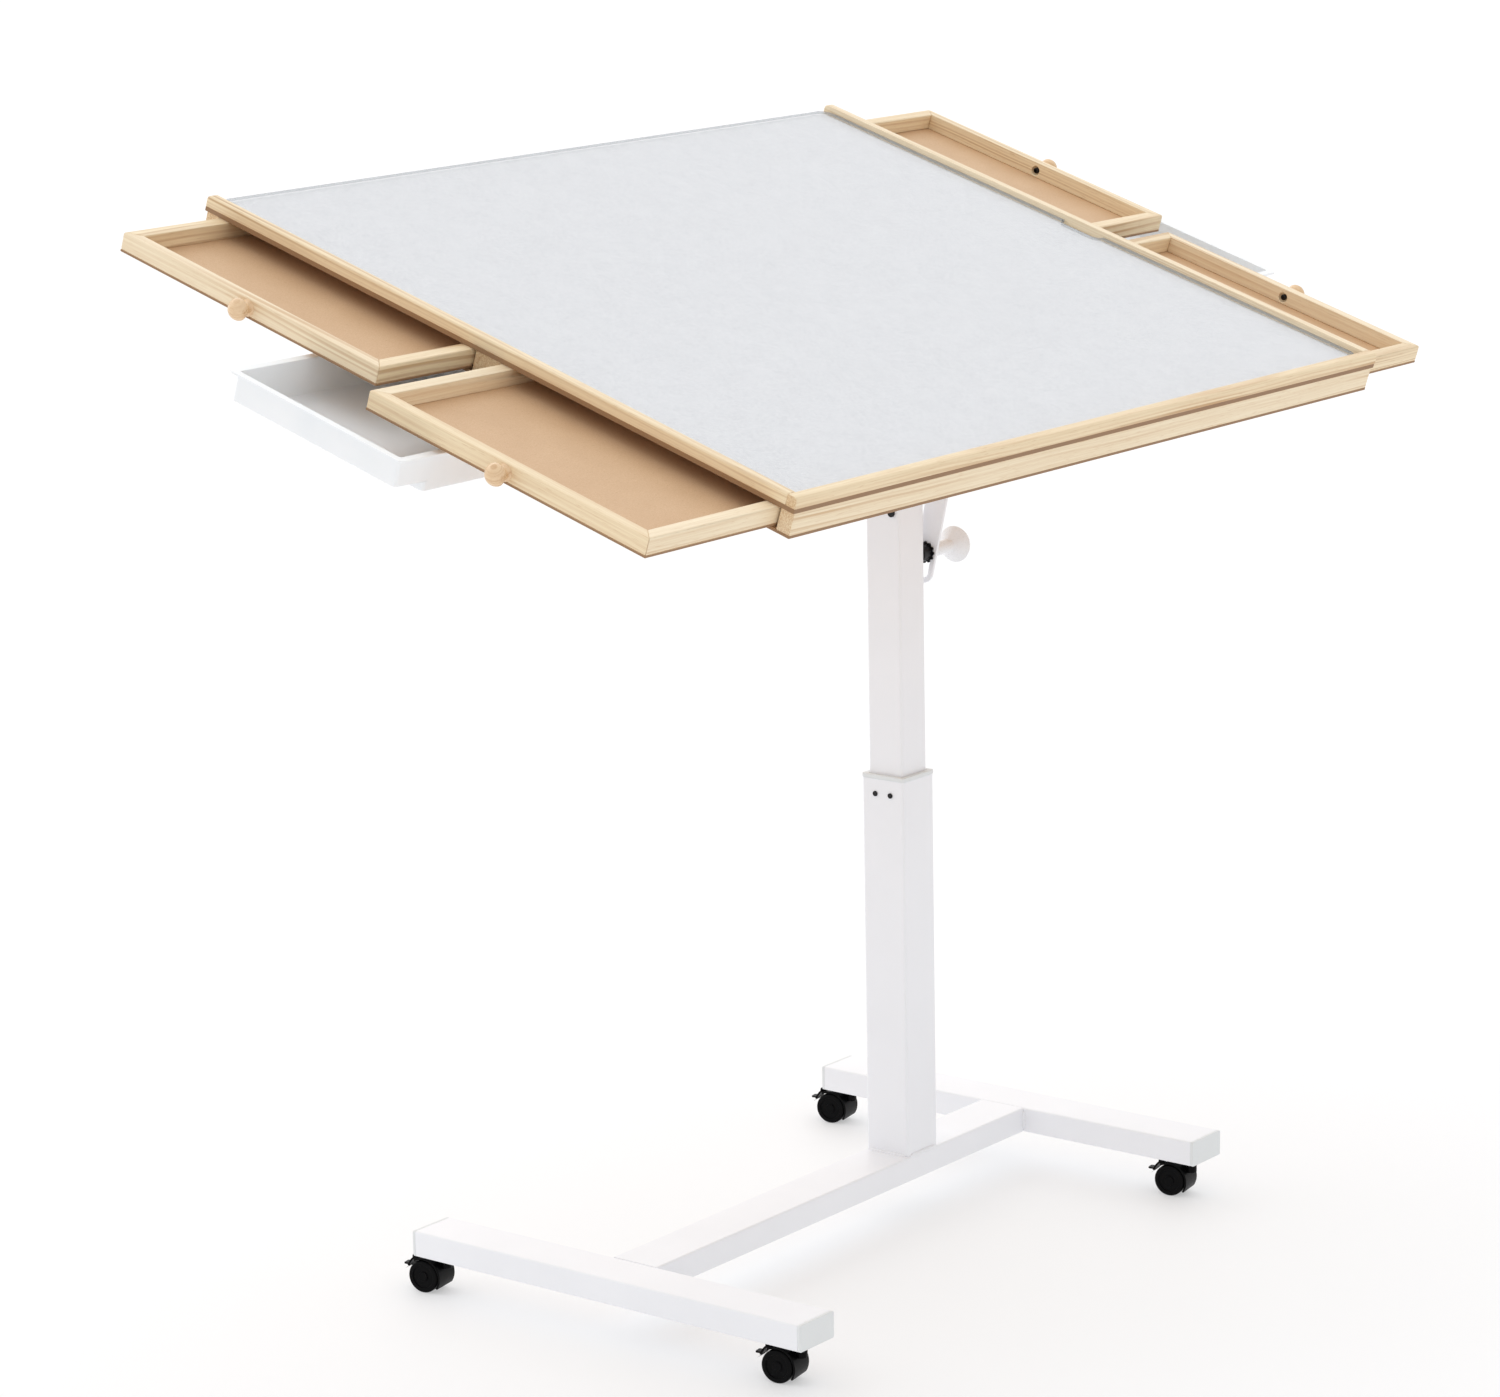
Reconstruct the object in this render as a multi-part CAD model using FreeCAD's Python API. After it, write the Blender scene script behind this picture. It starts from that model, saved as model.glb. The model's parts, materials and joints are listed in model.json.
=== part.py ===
import FreeCAD
import Part
import math
import os

# Jigsaw puzzle table: a tilting puzzle board with four drawers, a clear cover and two trays,
# on a height-adjustable column that stands on a base with four casters.
# Row frame: X to the user's right, Y away from the user, Z up, floor at Z = 0, millimetres, degrees.
# Board frame: X as above, Y up the slope, Z square to the board, origin on the hinge axis.

# Fits and cuts
cut_overrun = 5.0
running_gap = 0.3
seat_gap = 0.2
pin_gap = 0.05

# Puzzle board
board_length = 880.0
board_depth = 655.0
board_shift = 14.0
rest_tilt = 17.9
full_tilt = 20.0
bottom_thickness = 2.5
bay_height = 19.5
top_thickness = 4.0
rim_height = 10.0
rim_width = 10.0
rim_edge_radius = 4.0
rim_end_radius = 4.0
felt_thickness = 2.0
apron_thickness = 14.0
apron_face_inset = 1.0
apron_end_inset = 3.0
panel_inset = 0.5
divider_width = 28.0
stop_width = 20.0

# Clear cover
cover_thickness = 3.0
cover_gap = 0.6
cover_corner_radius = 14.0
cover_back_inset = 3.0
notch_length = 46.0
notch_depth = 11.0
notch_radius = 8.0

# Drawers, with how far each stands open at rest
drawer_depth = 330.0
drawer_wall = 12.0
drawer_bottom_thickness = 2.0
drawer_side_gap = 2.0
drawer_edge_radius = 1.5
drawer_runner_height = 2.0
drawer_runner_width = 10.0
drawer_runner_inset = 12.0
left_far_opening = 115.0
left_near_opening = 161.0
right_far_opening = 152.0
right_near_opening = 114.0

# Drawer knobs and the screw recess behind each
knob_radius = 9.5
knob_neck_radius = 5.5
knob_foot_radius = 7.5
knob_neck_length = 7.0
knob_shoulder_length = 3.5
knob_dome_height = 8.5
knob_screw_radius = 2.0
knob_recess_radius = 4.5
knob_recess_depth = 3.0

# Trays and their rails under the board
tray_length = 256.0
tray_width = 190.0
tray_depth = 34.0
tray_step_length = 35.0
tray_step_height = 9.0
tray_wall = 2.0
tray_flange_width = 5.0
tray_corner_radius = 4.0
tray_flange_corner_radius = 5.0
tray_bracket_gap = 8.0
tray_pull = 204.0
rail_thickness = 1.5
rail_lip_width = 4.0
rail_foot_width = 12.0

# Hinge between the board and the column
hinge_height = 838.0
hinge_plate_gap = 2.0
hinge_pin_radius = 4.0
hinge_ear_radius = 12.0
hinge_ear_thickness = 3.0
hinge_ear_gap = 0.4
head_plate_thickness = 3.0
head_height = 27.0
bracket_thickness = 3.0
bracket_length = 110.0
bracket_front_reach = 80.0
bracket_back_reach = 50.0
pin_head_radius = 7.0
pin_head_thickness = 3.0

# Tilt stay with its slot, clamp stud and clamp knob
stay_thickness = 3.0
stay_offset = 12.0
stay_reach = 60.0
stay_top_radius = 13.0
stay_end_radius = 10.5
stay_slot_play = 1.6
stay_slot_spare = 0.5
stay_pin_radius = 3.0
stay_pin_head_radius = 6.0
stay_pin_head_thickness = 2.0
stay_lug_radius = 10.0
stud_radius = 4.0
stud_drop = 213.5
stud_forward = 12.0
stud_grip_length = 30.0
stud_spacer_radius = 8.0
clamp_neck_radius = 6.5
clamp_neck_length = 32.0
clamp_back_length = 10.0
clamp_head_radius = 17.0
clamp_dome_height = 12.0

# Column
column_x = 117.0
tube_wall = 1.5
tube_corner_radius = 2.5
upper_column_width = 38.0
upper_column_low = 271.0
glide_wall = 2.5
glide_length = 42.0
glide_lip_height = 4.0
glide_lip_overhang = 0.5
lower_glide_length = 30.0
lower_column_top = 419.0
column_plate_thickness = 4.0
side_bolt_rise = 17.0
side_bolt_forward = 10.8
side_bolt_radius = 2.0
side_bolt_head_radius = 3.4
side_bolt_head_height = 2.4
side_bolt_reach = 8.0
glide_screw_radius = 1.6
glide_screw_head_radius = 2.5
glide_screw_head_height = 1.2
glide_screw_spacing = 17.0
glide_screw_drop = 14.0

# Lifting gas spring inside the column
gas_rod_radius = 5.0
gas_foot_radius = 10.0
gas_foot_height = 3.0
gas_piston_height = 12.0
gas_piston_low = 421.0
gas_cylinder_radius = 11.0
gas_cylinder_wall = 2.0
gas_cylinder_low = 371.0
gas_gland_height = 12.0
gas_head_height = 35.0
gas_head_drop = 15.0
gas_button_radius = 3.0

# Height lever
lever_drop = 107.0
lever_pivot_offset = 6.0
lever_width = 12.0
lever_thickness = 4.0
lever_length = 95.0
lever_end_gap = 1.0
lever_grip_length = 44.0
lever_grip_width = 30.0
lever_grip_thickness = 9.0
lever_grip_radius = 12.0
lever_pin_radius = 2.5
lever_lug_radius = 6.0
lever_lug_thickness = 3.0
lever_slot_play = 2.5
lever_swing = 8.0

# Base
foot_spacing = 609.0
foot_width = 48.0
foot_height = 24.0
foot_length = 435.0
foot_corner_radius = 2.0
spine_width = 50.0
cap_thickness = 3.0
cap_plug_length = 6.0
column_bolt_spacing = 30.0
column_bolt_radius = 4.0
column_bolt_head_radius = 7.0
column_bolt_head_height = 8.0

# Casters
caster_turn = 10.0
caster_end_inset = 17.5
caster_trail = 17.0
caster_neck_height = 6.5
wheel_radius = 15.0
wheel_width = 9.0
wheel_spacing = 8.0
wheel_edge_radius = 2.0
wheel_dish_radius = 10.5
wheel_dish_depth = 1.2
wheel_hub_radius = 4.5
axle_radius = 2.5
web_gap = 0.4
web_radius = 11.0
fender_gap = 1.0
fender_thickness = 1.8
fender_side_overhang = 0.3
fender_front_angle = 215.0
fender_back_angle = 58.0
stem_radius = 4.0
stem_flange_radius = 7.5
stem_flange_height = 1.5
stem_grip_length = 9.0
stem_socket_depth = 8.0
boss_radius = 5.6
boss_height = 12.0
brake_pivot_angle = 64.0
brake_gap = 3.3
brake_thickness = 2.0
brake_width = 16.0
brake_end_angle = 20.0
brake_barrel_radius = 2.4
brake_clear_radius = 4.5
brake_pin_radius = 1.3
brake_ear_radius = 3.2
brake_ear_width = 2.5
brake_tab_length = 8.0
brake_tab_width = 8.0
brake_tab_thickness = 1.6

# Screws under the board
screw_radius = 1.8
screw_head_radius = 3.8
screw_head_height = 1.6
apron_screw_length = 15.0
frame_screw_length = 16.0
screw_tip_gap = 0.4
apron_screw_count = 5
apron_screw_margin = 30.0
rail_screw_margin = 30.0
bracket_screw_margin = 10.0

X_AXIS = FreeCAD.Vector(1, 0, 0)
Y_AXIS = FreeCAD.Vector(0, 1, 0)
Z_AXIS = FreeCAD.Vector(0, 0, 1)
ORIGIN = FreeCAD.Vector(0, 0, 0)
HALF_TURN = 180.0
HEXAGON_SIDES = 6
parallel_share = 1e-9

# Board frame levels, from the hinge axis upwards
underside = max(hinge_ear_radius, stay_top_radius) + hinge_plate_gap + bracket_thickness
bay_low = underside + bottom_thickness
bay_high = bay_low + bay_height
top_high = bay_high + top_thickness
rim_top = top_high + rim_height
felt_top = top_high + felt_thickness

# Board frame places
half_length = board_length / 2
board_near = board_shift - board_depth / 2
board_far = board_shift + board_depth / 2
apron_end = half_length - apron_end_inset
bay_near = board_near + apron_face_inset + apron_thickness
bay_far = board_far - apron_face_inset - apron_thickness
divider_near = board_shift - divider_width / 2
divider_far = board_shift + divider_width / 2
drawer_inner_x = apron_end - drawer_depth

# Board frame levels of the tray flanges and rails, and the rail web's place beside the flange
tray_home_x = column_x + bracket_length / 2 + tray_bracket_gap
flange_high = underside - running_gap
flange_low = flange_high - tray_wall
lip_high = flange_low - running_gap
rail_inside = tray_width / 2 + running_gap
rail_outside = rail_inside + rail_thickness

# The column stands where the whole table's outline is centred front to back
tilt_cos = math.cos(math.radians(rest_tilt))
tilt_sin = math.sin(math.radians(rest_tilt))
outline_near = ((board_near + rim_edge_radius) * tilt_cos - (rim_top - rim_edge_radius) * tilt_sin
                - rim_edge_radius)
outline_far = (board_far - apron_face_inset) * tilt_cos - underside * tilt_sin
column_y = -(outline_near + outline_far) / 2

# Column sizes that follow from the inner tube
upper_half = upper_column_width / 2
upper_column_top = hinge_height - head_height - head_plate_thickness
lower_inner_half = upper_half + running_gap + glide_wall + seat_gap
lower_half = lower_inner_half + tube_wall
glide_screw_length = tube_wall + seat_gap + glide_wall - screw_tip_gap
rail_screw_length = rail_thickness + bottom_thickness - screw_tip_gap
caster_height = 2 * wheel_radius + caster_neck_height
caster_reach = foot_length / 2 - caster_end_inset
foot_top = caster_height + foot_height
column_face_x = column_x + upper_half
stay_x = column_face_x + stay_offset
clamp_knob_x = stay_x + stay_thickness + hinge_ear_gap

# The lever pivots below the tube's top, the gas spring's head sits below it and carries the side bolt
lever_pivot_height = upper_column_top - lever_drop
gas_head_high = lever_pivot_height - gas_head_drop
gas_head_low = gas_head_high - gas_head_height
side_bolt_height = gas_head_low + side_bolt_rise
gas_piston_radius = gas_cylinder_radius - gas_cylinder_wall - seat_gap


def block(x_low, x_high, y_low, y_high, z_low, z_high):
    """Box between two opposite corners."""
    corner = FreeCAD.Vector(x_low, y_low, z_low)
    return Part.makeBox(x_high - x_low, y_high - y_low, z_high - z_low, corner)


def prism_z(corners, z_low, z_high):
    """Upright prism on an outline of (x, y) corners."""
    outline = [FreeCAD.Vector(x, y, z_low) for x, y in corners + corners[:1]]
    return Part.Face(Part.makePolygon(outline)).extrude(Z_AXIS * (z_high - z_low))


def rod_x(radius, x_low, x_high, y, z):
    return Part.makeCylinder(radius, x_high - x_low, FreeCAD.Vector(x_low, y, z), X_AXIS)


def rod_y(radius, y_low, y_high, x, z):
    return Part.makeCylinder(radius, y_high - y_low, FreeCAD.Vector(x, y_low, z), Y_AXIS)


def rod_z(radius, z_low, z_high, x, y):
    return Part.makeCylinder(radius, z_high - z_low, FreeCAD.Vector(x, y, z_low), Z_AXIS)


def joined(shape, *others):
    return shape.fuse(list(others)).removeSplitter()


def without(shape, *tools):
    return shape.cut(list(tools))


def edges_along(shape, axis):
    """Straight edges that run along an axis."""
    found = []
    for edge in shape.Edges:
        if not isinstance(edge.Curve, Part.Line):
            continue
        if edge.Curve.Direction.cross(axis).Length < parallel_share:
            found.append(edge)
    return found


def edge_nearest(shape, axis, x, y, z):
    """The straight edge along an axis whose middle is nearest to a point."""
    point = FreeCAD.Vector(x, y, z)
    return min(edges_along(shape, axis), key=lambda edge: edge.CenterOfMass.distanceToPoint(point))


def rounded_slab(x_low, x_high, y_low, y_high, z_low, z_high, radius, axis=Z_AXIS):
    """Box whose four edges along an axis are rounded."""
    slab = block(x_low, x_high, y_low, y_high, z_low, z_high)
    return slab.makeFillet(radius, edges_along(slab, axis))


def hexagon_z(radius, z_low, z_high, x, y):
    """Hexagonal bolt head, radius to its corners."""
    corners = []
    for index in range(HEXAGON_SIDES):
        angle = math.radians(2 * HALF_TURN * index / HEXAGON_SIDES)
        corners.append((x + radius * math.cos(angle), y + radius * math.sin(angle)))
    return prism_z(corners, z_low, z_high)


def square_tube(half, wall, z_low, z_high, radius):
    """Upright square tube on the column's axis."""
    outside = rounded_slab(column_x - half, column_x + half, column_y - half, column_y + half,
                           z_low, z_high, radius)
    inner = half - wall
    bore = block(column_x - inner, column_x + inner, column_y - inner, column_y + inner,
                 z_low - cut_overrun, z_high + cut_overrun)
    return without(outside, bore)


def arc_piece(y, z, radius_in, radius_out, angle_low, angle_high, x_low, x_high):
    """Part of a ring about an axis along X, or of a disc where the inner radius is zero."""
    def at(radius, angle):
        turn = math.radians(angle)
        return FreeCAD.Vector(x_low, y + radius * math.cos(turn), z + radius * math.sin(turn))
    middle = (angle_low + angle_high) / 2
    outer = Part.Arc(at(radius_out, angle_low), at(radius_out, middle), at(radius_out, angle_high)).toShape()
    if radius_in > 0:
        inner = Part.Arc(at(radius_in, angle_high), at(radius_in, middle),
                         at(radius_in, angle_low)).toShape()
        sides = [Part.makeLine(at(radius_out, angle_high), at(radius_in, angle_high)), inner,
                 Part.makeLine(at(radius_in, angle_low), at(radius_out, angle_low))]
    else:
        centre = FreeCAD.Vector(x_low, y, z)
        sides = [Part.makeLine(at(radius_out, angle_high), centre),
                 Part.makeLine(centre, at(radius_out, angle_low))]
    face = Part.Face(Part.Wire([outer] + sides))
    return face.extrude(X_AXIS * (x_high - x_low))


def turned_x(profile, x_start):
    """Solid of revolution about the X axis from (length, radius) points and arcs."""
    edges = []
    for step in profile:
        ends = [FreeCAD.Vector(x_start + length, 0, radius) for length, radius in step]
        if len(ends) == 2:
            edges.append(Part.makeLine(ends[0], ends[1]))
        else:
            edges.append(Part.Arc(ends[0], ends[1], ends[2]).toShape())
    face = Part.Face(Part.Wire(edges))
    return face.revolve(ORIGIN, X_AXIS, 2 * HALF_TURN)


def cap_middle(start, radius, length):
    """Middle point of a domed end: an arc centred on the axis, from a radius to the tip."""
    height = length - start
    dome = (height * height + radius * radius) / (2 * height)
    turn = math.atan2(radius, dome - height) / 2
    return length - dome + dome * math.cos(turn), dome * math.sin(turn)


def tilted(shape):
    """Board frame to row frame at rest."""
    placed = shape.copy()
    placed.rotate(ORIGIN, X_AXIS, rest_tilt)
    placed.translate(FreeCAD.Vector(0, column_y, hinge_height))
    return placed


def write(name, *solids):
    shape = solids[0] if len(solids) == 1 else Part.makeCompound(list(solids))
    shape.exportStep(os.path.join("parts", name + ".step"))


# Base: two feet, the spine between them, end caps, bolts and caster stems

def stem_places():
    """Caster names with the stem's place in the row frame."""
    places = {}
    for side, x in (("left", -foot_spacing / 2), ("right", foot_spacing / 2)):
        for end, y in (("near", column_y - caster_reach), ("far", column_y + caster_reach)):
            places["caster_" + side + "_" + end] = (x, y)
    return places


def foot(x):
    half = foot_length / 2 - cap_thickness
    tube = rounded_slab(x - foot_width / 2, x + foot_width / 2, column_y - half, column_y + half,
                        caster_height, foot_top, foot_corner_radius, Y_AXIS)
    bore = block(x - foot_width / 2 + tube_wall, x + foot_width / 2 - tube_wall,
                 column_y - half - cut_overrun, column_y + half + cut_overrun,
                 caster_height + tube_wall, foot_top - tube_wall)
    tube = without(tube, bore)
    for end in (-1, 1):
        hole = rod_z(stem_radius + pin_gap, caster_height - cut_overrun, caster_height + cut_overrun,
                     x, column_y + end * caster_reach)
        tube = without(tube, hole)
    return tube


def foot_end_cap(x, end):
    tube_end = foot_length / 2 - cap_thickness
    plate = rounded_slab(x - foot_width / 2, x + foot_width / 2, tube_end, foot_length / 2,
                         caster_height, foot_top, foot_corner_radius, Y_AXIS)
    inset = tube_wall + seat_gap
    plug = block(x - foot_width / 2 + inset, x + foot_width / 2 - inset,
                 tube_end - cap_plug_length, tube_end, caster_height + inset, foot_top - inset)
    cap = joined(plate, plug)
    if end < 0:
        cap = cap.mirror(ORIGIN, Y_AXIS)
    cap.translate(Y_AXIS * column_y)
    return cap


def column_bolt_places():
    return [(column_x - column_bolt_spacing / 2, column_y), (column_x + column_bolt_spacing / 2, column_y)]


def spine_beam():
    half = (foot_spacing - foot_width) / 2
    tube = rounded_slab(-half, half, column_y - spine_width / 2, column_y + spine_width / 2,
                        caster_height, foot_top, foot_corner_radius, X_AXIS)
    bore = block(-half - cut_overrun, half + cut_overrun,
                 column_y - spine_width / 2 + tube_wall, column_y + spine_width / 2 - tube_wall,
                 caster_height + tube_wall, foot_top - tube_wall)
    holes = [rod_z(column_bolt_radius + pin_gap, caster_height - cut_overrun, foot_top + cut_overrun, x, y)
             for x, y in column_bolt_places()]
    return without(tube, bore, *holes)


def column_bolt(x, y):
    head = hexagon_z(column_bolt_head_radius, caster_height - column_bolt_head_height, caster_height, x, y)
    shank = rod_z(column_bolt_radius, caster_height - column_bolt_head_height,
                  foot_top + column_plate_thickness, x, y)
    return joined(head, shank)


def glide_screw_places():
    height = lower_column_top - glide_screw_drop
    return [(column_y - glide_screw_spacing / 2, height), (column_y + glide_screw_spacing / 2, height)]


def glide_screw(y, z):
    face = column_x - lower_half
    head = rod_x(glide_screw_head_radius, face - glide_screw_head_height, face, y, z)
    shank = rod_x(glide_screw_radius, face, face + glide_screw_length, y, z)
    return joined(head, shank)


def glide_screw_holes():
    face = column_x - lower_half
    return [rod_x(glide_screw_radius + pin_gap, face - cut_overrun,
                  face + glide_screw_length + pin_gap, y, z) for y, z in glide_screw_places()]


def lower_column():
    tube = square_tube(lower_half, tube_wall, foot_top, lower_column_top, tube_corner_radius)
    plate = block(column_x - lower_inner_half, column_x + lower_inner_half,
                  column_y - lower_inner_half, column_y + lower_inner_half,
                  foot_top, foot_top + column_plate_thickness)
    holes = [rod_z(column_bolt_radius + pin_gap, foot_top - cut_overrun,
                   foot_top + column_plate_thickness + cut_overrun, x, y) for x, y in column_bolt_places()]
    return without(joined(tube, plate), *(holes + glide_screw_holes()))


def column_glide():
    inner = upper_half + running_gap
    sleeve = square_tube(inner + glide_wall, glide_wall, lower_column_top - glide_length,
                         lower_column_top, tube_corner_radius)
    lip_half = lower_half + glide_lip_overhang
    lip = square_tube(lip_half, lip_half - inner, lower_column_top,
                      lower_column_top + glide_lip_height, tube_corner_radius)
    return without(joined(sleeve, lip), *glide_screw_holes())


def gas_rod():
    foot_low = foot_top + column_plate_thickness
    flange = rod_z(gas_foot_radius, foot_low, foot_low + gas_foot_height, column_x, column_y)
    rod = rod_z(gas_rod_radius, foot_low, gas_piston_low, column_x, column_y)
    piston = rod_z(gas_piston_radius, gas_piston_low, gas_piston_low + gas_piston_height, column_x, column_y)
    return joined(flange, rod, piston)


def caster_stem(x, y):
    flange = hexagon_z(stem_flange_radius, caster_height - stem_flange_height, caster_height, x, y)
    low = caster_height - stem_flange_height - running_gap - stem_socket_depth
    shaft = rod_z(stem_radius, low, caster_height + stem_grip_length, x, y)
    return joined(flange, shaft)


def write_stand():
    write("foot_left", foot(-foot_spacing / 2))
    write("foot_right", foot(foot_spacing / 2))
    write("spine_beam", spine_beam())
    caps = [foot_end_cap(side * foot_spacing / 2, end) for side in (-1, 1) for end in (-1, 1)]
    write("foot_end_caps", *caps)
    write("lower_column", lower_column())
    write("column_glide", column_glide())
    bolts = [column_bolt(x, y) for x, y in column_bolt_places()]
    screws = [glide_screw(y, z) for y, z in glide_screw_places()]
    write("stand_bolts", *(bolts + screws))
    write("gas_rod", gas_rod())
    write("caster_stems", *[caster_stem(x, y) for x, y in stem_places().values()])


# Column: inner tube, its lower glide, the gas cylinder, the hinge yoke and the bolts on it

def lever_pivot_x():
    return column_x - upper_half - lever_pivot_offset


def lever_lugs():
    """Two lugs on the tube's left face that carry the lever's pin."""
    lugs = []
    for side in (-1, 1):
        inner = lever_width / 2 + running_gap
        ends = sorted((side * inner, side * (inner + lever_lug_thickness)))
        y_low = column_y + ends[0]
        y_high = column_y + ends[1]
        arm = block(lever_pivot_x(), column_x - upper_half, y_low, y_high,
                    lever_pivot_height - lever_lug_radius, lever_pivot_height + lever_lug_radius)
        end = rod_y(lever_lug_radius, y_low, y_high, lever_pivot_x(), lever_pivot_height)
        hole = rod_y(lever_pin_radius + pin_gap, y_low - cut_overrun, y_high + cut_overrun,
                     lever_pivot_x(), lever_pivot_height)
        lugs.append(without(joined(arm, end), hole))
    return lugs


def side_bolt_hole():
    face = column_x - upper_half
    return rod_x(side_bolt_radius + pin_gap, face - cut_overrun, face + side_bolt_reach + pin_gap,
                 column_y - side_bolt_forward, side_bolt_height)


def upper_column():
    tube = square_tube(upper_half, tube_wall, upper_column_low, upper_column_top, tube_corner_radius)
    slot_half = lever_thickness / 2 + lever_slot_play
    slot_side = lever_width / 2 + running_gap
    face = column_x - upper_half
    slot = block(face - cut_overrun, face + tube_wall + cut_overrun, column_y - slot_side,
                 column_y + slot_side, lever_pivot_height - slot_half, lever_pivot_height + slot_half)
    return joined(without(tube, slot, side_bolt_hole()), *lever_lugs())


def lower_glide():
    outer = lower_inner_half - running_gap
    return square_tube(outer, outer - upper_half, upper_column_low,
                       upper_column_low + lower_glide_length, tube_corner_radius)


def gas_cylinder():
    inner = gas_cylinder_radius - gas_cylinder_wall
    body = rod_z(gas_cylinder_radius, gas_cylinder_low, gas_head_low, column_x, column_y)
    bore = rod_z(inner, gas_cylinder_low + gas_gland_height, gas_head_low, column_x, column_y)
    gland = rod_z(gas_rod_radius + pin_gap, gas_cylinder_low - cut_overrun,
                  gas_cylinder_low + gas_gland_height, column_x, column_y)
    half = upper_half - tube_wall - seat_gap
    head = block(column_x - half, column_x + half, column_y - half, column_y + half,
                 gas_head_low, gas_head_high)
    button_high = (lever_pivot_height - lever_thickness / 2 - running_gap
                   - (lever_pivot_offset + upper_half + gas_button_radius)
                   * math.tan(math.radians(lever_swing)))
    button = rod_z(gas_button_radius, gas_head_high, button_high, column_x, column_y)
    return without(joined(without(body, bore, gland), head, button), side_bolt_hole())


def hinge_head():
    plate = rounded_slab(column_x - upper_half, column_x + upper_half,
                         column_y - upper_half, column_y + upper_half, upper_column_top,
                         upper_column_top + head_plate_thickness, tube_corner_radius)
    ears = []
    for side in (-1, 1):
        ends = sorted((side * upper_half, side * (upper_half - hinge_ear_thickness)))
        arm = block(column_x + ends[0], column_x + ends[1], column_y - hinge_ear_radius,
                    column_y + hinge_ear_radius, upper_column_top + head_plate_thickness, hinge_height)
        end = rod_x(hinge_ear_radius, column_x + ends[0], column_x + ends[1], column_y, hinge_height)
        ears.append(joined(arm, end))
    hole = rod_x(hinge_pin_radius + pin_gap, column_x - upper_half - cut_overrun,
                 column_x + upper_half + cut_overrun, column_y, hinge_height)
    return without(joined(plate, *ears), hole)


def stud_place():
    return column_y - stud_forward, hinge_height - stud_drop


def clamp_stud():
    y, z = stud_place()
    shaft = rod_x(stud_radius, column_face_x, clamp_knob_x + stud_grip_length, y, z)
    spacer = rod_x(stud_spacer_radius, column_face_x, stay_x - hinge_ear_gap, y, z)
    return joined(shaft, spacer)


def side_bolt():
    face = column_x - upper_half
    y = column_y - side_bolt_forward
    head = rod_x(side_bolt_head_radius, face - side_bolt_head_height, face, y, side_bolt_height)
    shank = rod_x(side_bolt_radius, face, face + side_bolt_reach, y, side_bolt_height)
    return joined(head, shank)


def clamp_knob():
    """Mushroom knob: a slim neck, a conical back and a domed head."""
    bore_length = stud_grip_length + running_gap
    bore_radius = stud_radius + pin_gap
    rim = clamp_neck_length + clamp_back_length
    length = rim + clamp_dome_height
    knob = turned_x([
        [(0, bore_radius), (0, clamp_neck_radius)],
        [(0, clamp_neck_radius), (clamp_neck_length, clamp_neck_radius)],
        [(clamp_neck_length, clamp_neck_radius), (rim, clamp_head_radius)],
        [(rim, clamp_head_radius), cap_middle(rim, clamp_head_radius, length), (length, 0)],
        [(length, 0), (bore_length, 0)],
        [(bore_length, 0), (bore_length, bore_radius)],
        [(bore_length, bore_radius), (0, bore_radius)],
    ], clamp_knob_x)
    y, z = stud_place()
    knob.translate(FreeCAD.Vector(0, y, z))
    return knob


def height_lever():
    """Flat bar through the tube's wall, with a paddle grip outside and its pin across it."""
    pivot = lever_pivot_x()
    half = lever_width / 2
    outer = pivot - lever_length
    bar = block(outer, column_x - lever_end_gap, column_y - half, column_y + half,
                lever_pivot_height - lever_thickness / 2, lever_pivot_height + lever_thickness / 2)
    grip = rounded_slab(outer - lever_grip_length / 2, outer + lever_grip_length / 2,
                        column_y - lever_grip_width / 2, column_y + lever_grip_width / 2,
                        lever_pivot_height - lever_grip_thickness / 2,
                        lever_pivot_height + lever_grip_thickness / 2, lever_grip_radius)
    pin_half = half + running_gap + lever_lug_thickness
    pin = rod_y(lever_pin_radius, column_y - pin_half, column_y + pin_half, pivot, lever_pivot_height)
    return joined(bar, grip, pin)


def write_column():
    write("upper_column", upper_column())
    write("lower_glide", lower_glide())
    write("gas_cylinder", gas_cylinder())
    write("hinge_head", hinge_head())
    write("column_bolts", clamp_stud(), side_bolt())
    write("clamp_knob", clamp_knob())
    write("height_lever", height_lever())


# Tilt stay: hangs from a lug on the board and runs down to the clamp stud

def stay_line(tilt):
    """Length and lean of the line from the clamp stud to the stay's pin at a board tilt."""
    turn = math.radians(tilt)
    forward = stay_reach * math.cos(turn) - stud_forward
    rise = stud_drop - stay_reach * math.sin(turn)
    return math.hypot(forward, rise), math.degrees(math.atan2(forward, rise))


def stay_lean():
    """One lean that serves the whole tilt range, half way between its extremes."""
    leans = [stay_line(tilt)[1] for tilt in (0, rest_tilt, full_tilt)]
    return (min(leans) + max(leans)) / 2


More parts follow.
